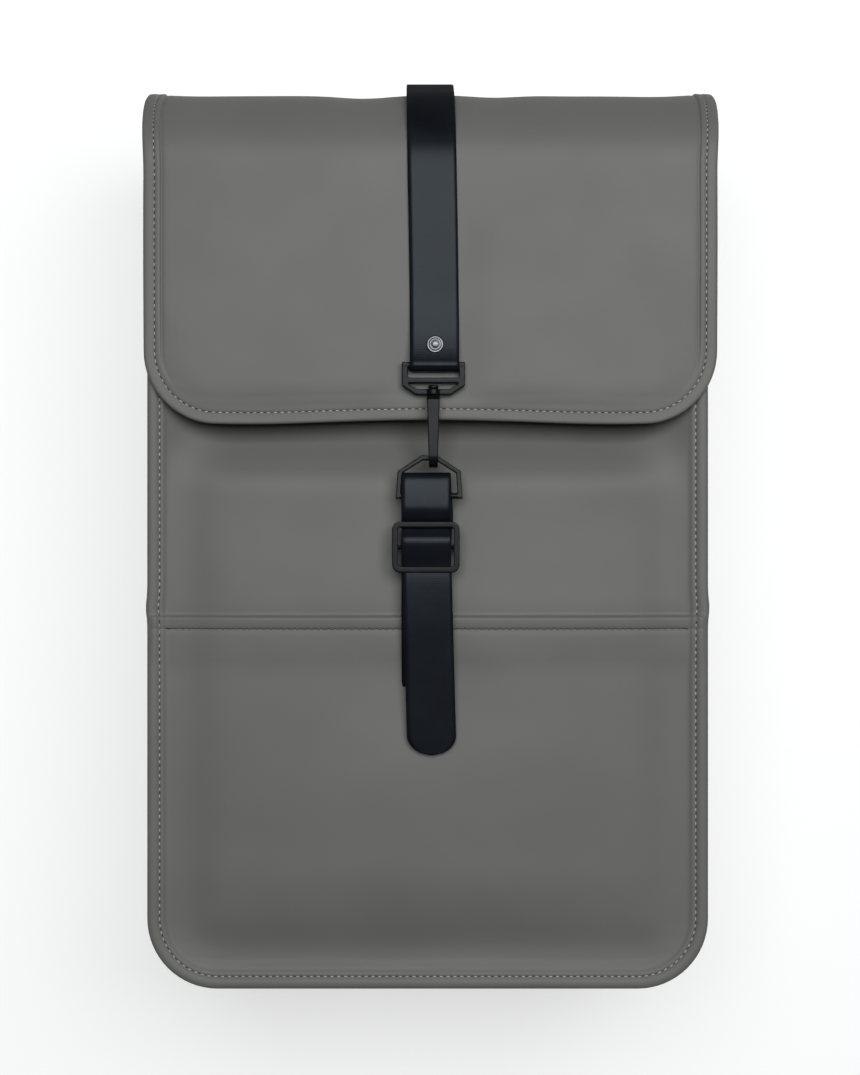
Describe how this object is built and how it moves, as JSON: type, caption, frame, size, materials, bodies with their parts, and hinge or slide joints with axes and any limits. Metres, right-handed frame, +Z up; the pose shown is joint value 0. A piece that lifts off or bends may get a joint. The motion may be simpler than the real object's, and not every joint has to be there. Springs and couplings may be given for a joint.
{
  "type": "daypack",
  "caption": "Slim flap-top daypack in coated fabric, closed by a front strap with a snap hook, D-ring and sliding buckle, with padded shoulder straps.",
  "frame": {"origin": "middle of the bag's base, on the ground plane", "axes": "+Z up; the bag's front, with the flap's strap and hook, faces -Y; +X is to the right when the front is seen"},
  "size_m": [0.292, 0.1466, 0.476],
  "materials": {
    "coated_fabric": "matte coated",
    "lining": "plain weave",
    "foam": "soft",
    "mesh": "spacer mesh",
    "webbing": "smooth woven",
    "black_metal": "satin black",
    "gunmetal": "dark nickel",
    "black_plastic": "matte"
  },
  "bodies": {
    "bag": {"front_upper_panel": "coated_fabric", "front_lower_panel": "coated_fabric", "gusset": "coated_fabric", "back_panel": "coated_fabric", "back_padding": "foam", "back_lining": "lining", "front_seam_binding": "coated_fabric", "back_seam_binding": "coated_fabric", "top_seam_band": "coated_fabric", "laptop_sleeve": "lining", "lower_strap": "webbing", "zipper_tapes": "webbing", "zipper_coil": "black_plastic", "strap_tab_left": "coated_fabric", "strap_tab_right": "coated_fabric", "strap_root_left": "coated_fabric", "strap_root_right": "coated_fabric"},
    "flap": {"flap": "coated_fabric", "flap_hem": "coated_fabric", "front_strap": "webbing", "rivet_cap": "gunmetal", "rivet_post": "gunmetal"},
    "ring": {"hook_ring": "black_metal"},
    "hook": {"hook_body": "black_metal", "gate_pin": "gunmetal"},
    "gate": {"hook_gate": "black_metal"},
    "d_ring": {"d_ring": "black_metal"},
    "slider": {"slider_frame": "black_metal", "slider_bar": "black_metal"},
    "tail": {"strap_tail": "webbing"},
    "haul": {"haul_loop": "webbing"},
    "shoulder_left": {"shoulder_pad_left": "coated_fabric", "pad_mesh_left": "mesh", "lock_loop_left": "webbing", "ladder_lock_left": "black_plastic", "adjuster_web_left": "webbing"},
    "shoulder_right": {"shoulder_pad_right": "coated_fabric", "pad_mesh_right": "mesh", "lock_loop_right": "webbing", "ladder_lock_right": "black_plastic", "adjuster_web_right": "webbing"},
    "adjuster_left": {"adjuster_tail_left": "webbing"},
    "adjuster_right": {"adjuster_tail_right": "webbing"},
    "zip_slider": {"zipper_slider": "gunmetal"},
    "zip_pull": {"zipper_pull": "gunmetal"}
  },
  "joints": [
    {"name": "flap_hinge", "type": "hinge", "parent": "bag", "child": "flap", "pos_m": [0, 0.0442, 0.452], "axis": [-1, 0, 0], "range_deg": [0, 115]},
    {"name": "ring_pivot", "type": "hinge", "parent": "flap", "child": "ring", "pos_m": [0.0029, -0.06615, 0.3184], "axis": [-1, 0, 0], "range_deg": [0, 90]},
    {"name": "hook_swivel", "type": "hinge", "parent": "ring", "child": "hook", "pos_m": [0.0029, -0.06615, 0.3], "axis": [0, 0, 1], "range_deg": [-5, 5]},
    {"name": "gate_pivot", "type": "hinge", "parent": "hook", "child": "gate", "pos_m": [0.0029, -0.06485, 0.2984], "axis": [-1, 0, 0], "range_deg": [0, 10], "stiffness_Nm_per_rad": 0.005},
    {"name": "d_ring_pivot", "type": "hinge", "parent": "bag", "child": "d_ring", "pos_m": [0.0008, -0.0689, 0.2519], "axis": [1, 0, 0], "range_deg": [0, 2]},
    {"name": "slider_slide", "type": "slide", "parent": "bag", "child": "slider", "axis": [0, 0, -1], "range_m": [0, 0.036]},
    {"name": "tail_lift", "type": "hinge", "parent": "bag", "child": "tail", "pos_m": [0.0008, -0.0681, 0.2121], "axis": [-1, 0, 0], "range_deg": [0, 80]},
    {"name": "haul_loop_hinge", "type": "hinge", "parent": "bag", "child": "haul", "pos_m": [0, 0.0466, 0.434], "axis": [1, 0, 0], "range_deg": [0, 100]},
    {"name": "shoulder_swing_left", "type": "hinge", "parent": "bag", "child": "shoulder_left", "pos_m": [-0.064, 0.055, 0.434], "axis": [-0.1215, 0, -0.9926], "range_deg": [-25, 25]},
    {"name": "shoulder_swing_right", "type": "hinge", "parent": "bag", "child": "shoulder_right", "pos_m": [0.064, 0.055, 0.434], "axis": [0.1215, 0, -0.9926], "range_deg": [-25, 25]},
    {"name": "adjuster_tail_swing_left", "type": "hinge", "parent": "shoulder_left", "child": "adjuster_left", "pos_m": [-0.09981, 0.06859, 0.14153], "axis": [0.9926, 0, -0.1215], "range_deg": [0, 80]},
    {"name": "adjuster_tail_swing_right", "type": "hinge", "parent": "shoulder_right", "child": "adjuster_right", "pos_m": [0.09981, 0.06859, 0.14153], "axis": [0.9926, 0, 0.1215], "range_deg": [0, 80]},
    {"name": "zipper_slide", "type": "slide", "parent": "bag", "child": "zip_slider", "axis": [1, 0, 0], "range_m": [0, 0.13]},
    {"name": "zipper_pull_hinge", "type": "hinge", "parent": "zip_slider", "child": "zip_pull", "pos_m": [-0.069, 0.0466, 0.15], "axis": [0, 0, 1], "range_deg": [0, 170]}
  ]
}
